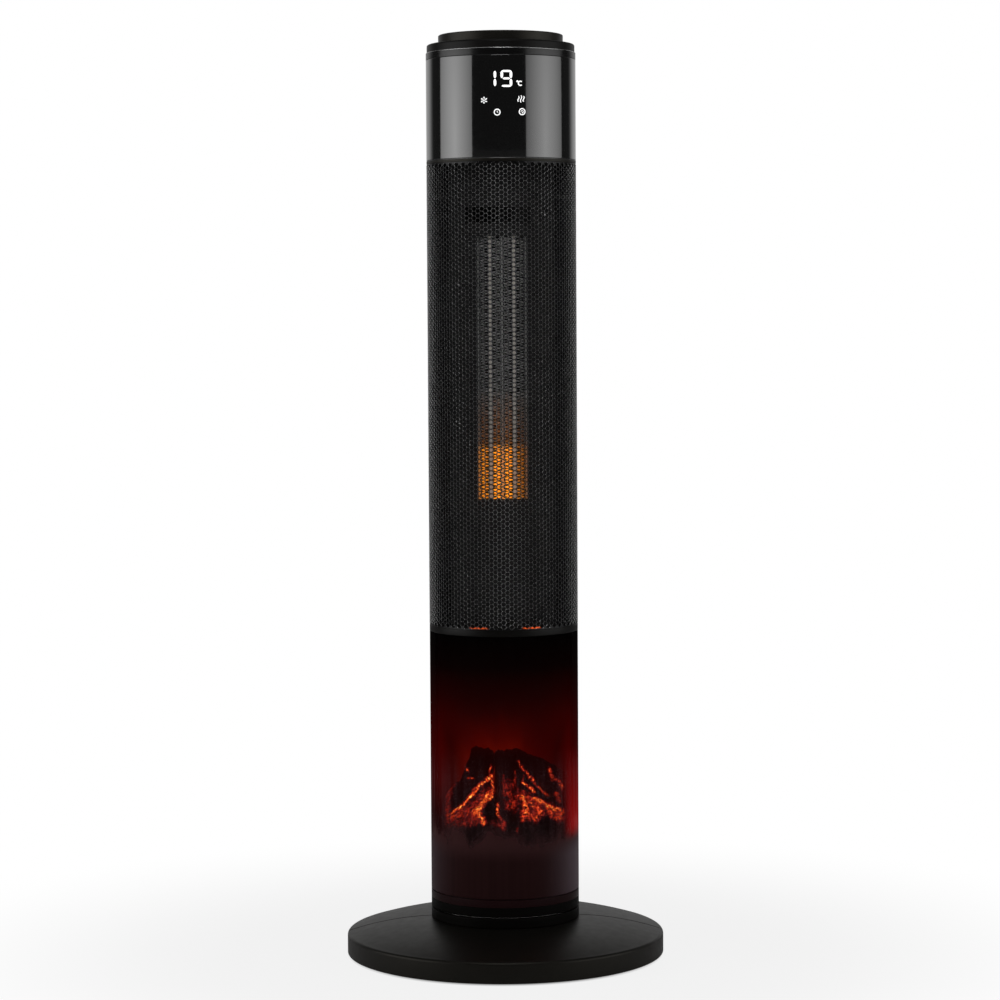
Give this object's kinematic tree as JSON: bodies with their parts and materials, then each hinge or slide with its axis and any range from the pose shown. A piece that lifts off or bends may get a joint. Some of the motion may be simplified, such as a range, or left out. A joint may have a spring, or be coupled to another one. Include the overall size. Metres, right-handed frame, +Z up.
{
  "type": "ceramic tower heater",
  "caption": "Slim free-standing ceramic tower heater on a round base, with a perforated front, a flame-effect window with logs, a digital display panel and a swinging tower.",
  "frame": {"origin": "on the floor under the middle of the round base", "axes": "+Z up along the tower, the front with the mesh and window faces -Y, +X to the right"},
  "size_m": [0.27, 0.27, 0.7794],
  "materials": {
    "satin_black": "moulded satin black with a fine grain",
    "button_black": "moulded satin black",
    "gloss_black": "polished black",
    "smoked_acrylic": "polished dark smoked red-brown, see-through",
    "purple_band": "polished dark purple-brown",
    "black_mesh": "satin black paint on perforated sheet",
    "zinc_steel": "zinc-plated sheet",
    "aluminium": "bare rolled aluminium",
    "foil": "bright reflector foil",
    "heat_plastic": "heat-proof glass-filled plastic",
    "white_acetal": "natural acetal",
    "bronze": "sintered bronze",
    "rubber": "black rubber",
    "circuit_board": "green solder mask",
    "relay_blue": "moulded blue plastic",
    "amber_led": "clear amber",
    "log_resin": "cast resin painted as charred bark with glowing cracks",
    "ember_resin": "cast resin painted as ash and embers",
    "frosted_screen": "frosted translucent sheet"
  },
  "bodies": {
    "base": {"base_front_half": "satin_black", "base_rear_half": "satin_black", "base_screws": "zinc_steel", "rubber_feet": "rubber", "fixed_collar": "satin_black", "drive_gear": "white_acetal", "glide_ring": "white_acetal", "tip_over_switch": "satin_black", "cord_gland": "rubber"},
    "tower": {"turntable": "satin_black", "top_ring": "satin_black", "top_disc": "satin_black", "lower_rear_shell": "satin_black", "upper_rear_shell": "satin_black", "partition": "satin_black", "mesh_top_trim": "satin_black", "display_frame": "satin_black", "rocker_housing": "satin_black", "hearth_tray": "satin_black", "hub_retainer": "satin_black", "display_window": "gloss_black", "flame_window": "smoked_acrylic", "tower_foot_ring": "purple_band", "mesh_grille": "black_mesh", "front_baffle": "black_mesh", "duct_walls": "zinc_steel", "fan_scroll": "zinc_steel", "top_bulkhead": "zinc_steel", "rotor_brackets": "zinc_steel", "fan_motor": "zinc_steel", "swing_motor": "zinc_steel", "rotor_motor": "zinc_steel", "retainer_screws": "zinc_steel", "turntable_screws": "zinc_steel", "ptc_tubes": "aluminium", "ptc_fins": "aluminium", "ptc_rails": "aluminium", "ptc_holders": "heat_plastic", "thermal_cutout": "heat_plastic", "fan_bearing": "bronze", "led_boards": "circuit_board", "display_board": "circuit_board", "control_board": "circuit_board", "key_board": "circuit_board", "control_relays": "relay_blue", "key_switches": "relay_blue", "flame_leds": "amber_led", "log_set": "log_resin", "ember_bed": "ember_resin", "flame_screen": "frosted_screen"},
    "pinion": {"swing_pinion": "white_acetal"},
    "fan": {"fan_wheel": "aluminium", "fan_shaft": "zinc_steel"},
    "rotor": {"flame_rotor": "foil"},
    "rocker": {"power_rocker": "satin_black"},
    "button_power": {"button_power": "button_black"},
    "button_mode": {"button_mode": "button_black"},
    "button_timer": {"button_timer": "button_black"},
    "button_swing": {"button_swing": "button_black"},
    "button_heat": {"button_heat": "button_black"}
  },
  "joints": [
    {"name": "tower_swing", "type": "hinge", "parent": "base", "child": "tower", "pos_m": [0, 0, 0.041], "axis": [0, 0, 1], "range_deg": [-35, 35]},
    {"name": "pinion_spin", "type": "hinge", "parent": "tower", "child": "pinion", "pos_m": [0, 0.031, 0.0285], "axis": [0, 0, 1], "range_deg": [-195, 195]},
    {"name": "fan_spin", "type": "hinge", "parent": "tower", "child": "fan", "pos_m": [0, 0.014, 0.475], "axis": [0, 0, 1], "continuous": true},
    {"name": "rotor_spin", "type": "hinge", "parent": "tower", "child": "rotor", "pos_m": [0, 0.027, 0.0999], "axis": [1, 0, 0], "continuous": true},
    {"name": "rocker_tilt", "type": "hinge", "parent": "tower", "child": "rocker", "pos_m": [0, 0.06, 0.0849], "axis": [1, 0, 0], "range_deg": [-20, 0]},
    {"name": "button_power_press", "type": "slide", "parent": "tower", "child": "button_power", "axis": [0, 0, -1], "range_m": [0, 0.0005], "stiffness_N_per_m": 300},
    {"name": "button_mode_press", "type": "slide", "parent": "tower", "child": "button_mode", "axis": [0, 0, -1], "range_m": [0, 0.0005], "stiffness_N_per_m": 300},
    {"name": "button_timer_press", "type": "slide", "parent": "tower", "child": "button_timer", "axis": [0, 0, -1], "range_m": [0, 0.0005], "stiffness_N_per_m": 300},
    {"name": "button_swing_press", "type": "slide", "parent": "tower", "child": "button_swing", "axis": [0, 0, -1], "range_m": [0, 0.0005], "stiffness_N_per_m": 300},
    {"name": "button_heat_press", "type": "slide", "parent": "tower", "child": "button_heat", "axis": [0, 0, -1], "range_m": [0, 0.0005], "stiffness_N_per_m": 300}
  ],
  "couplings": [
    {"joint": "pinion_spin", "follows": "tower_swing", "ratio": -5.4286}
  ]
}
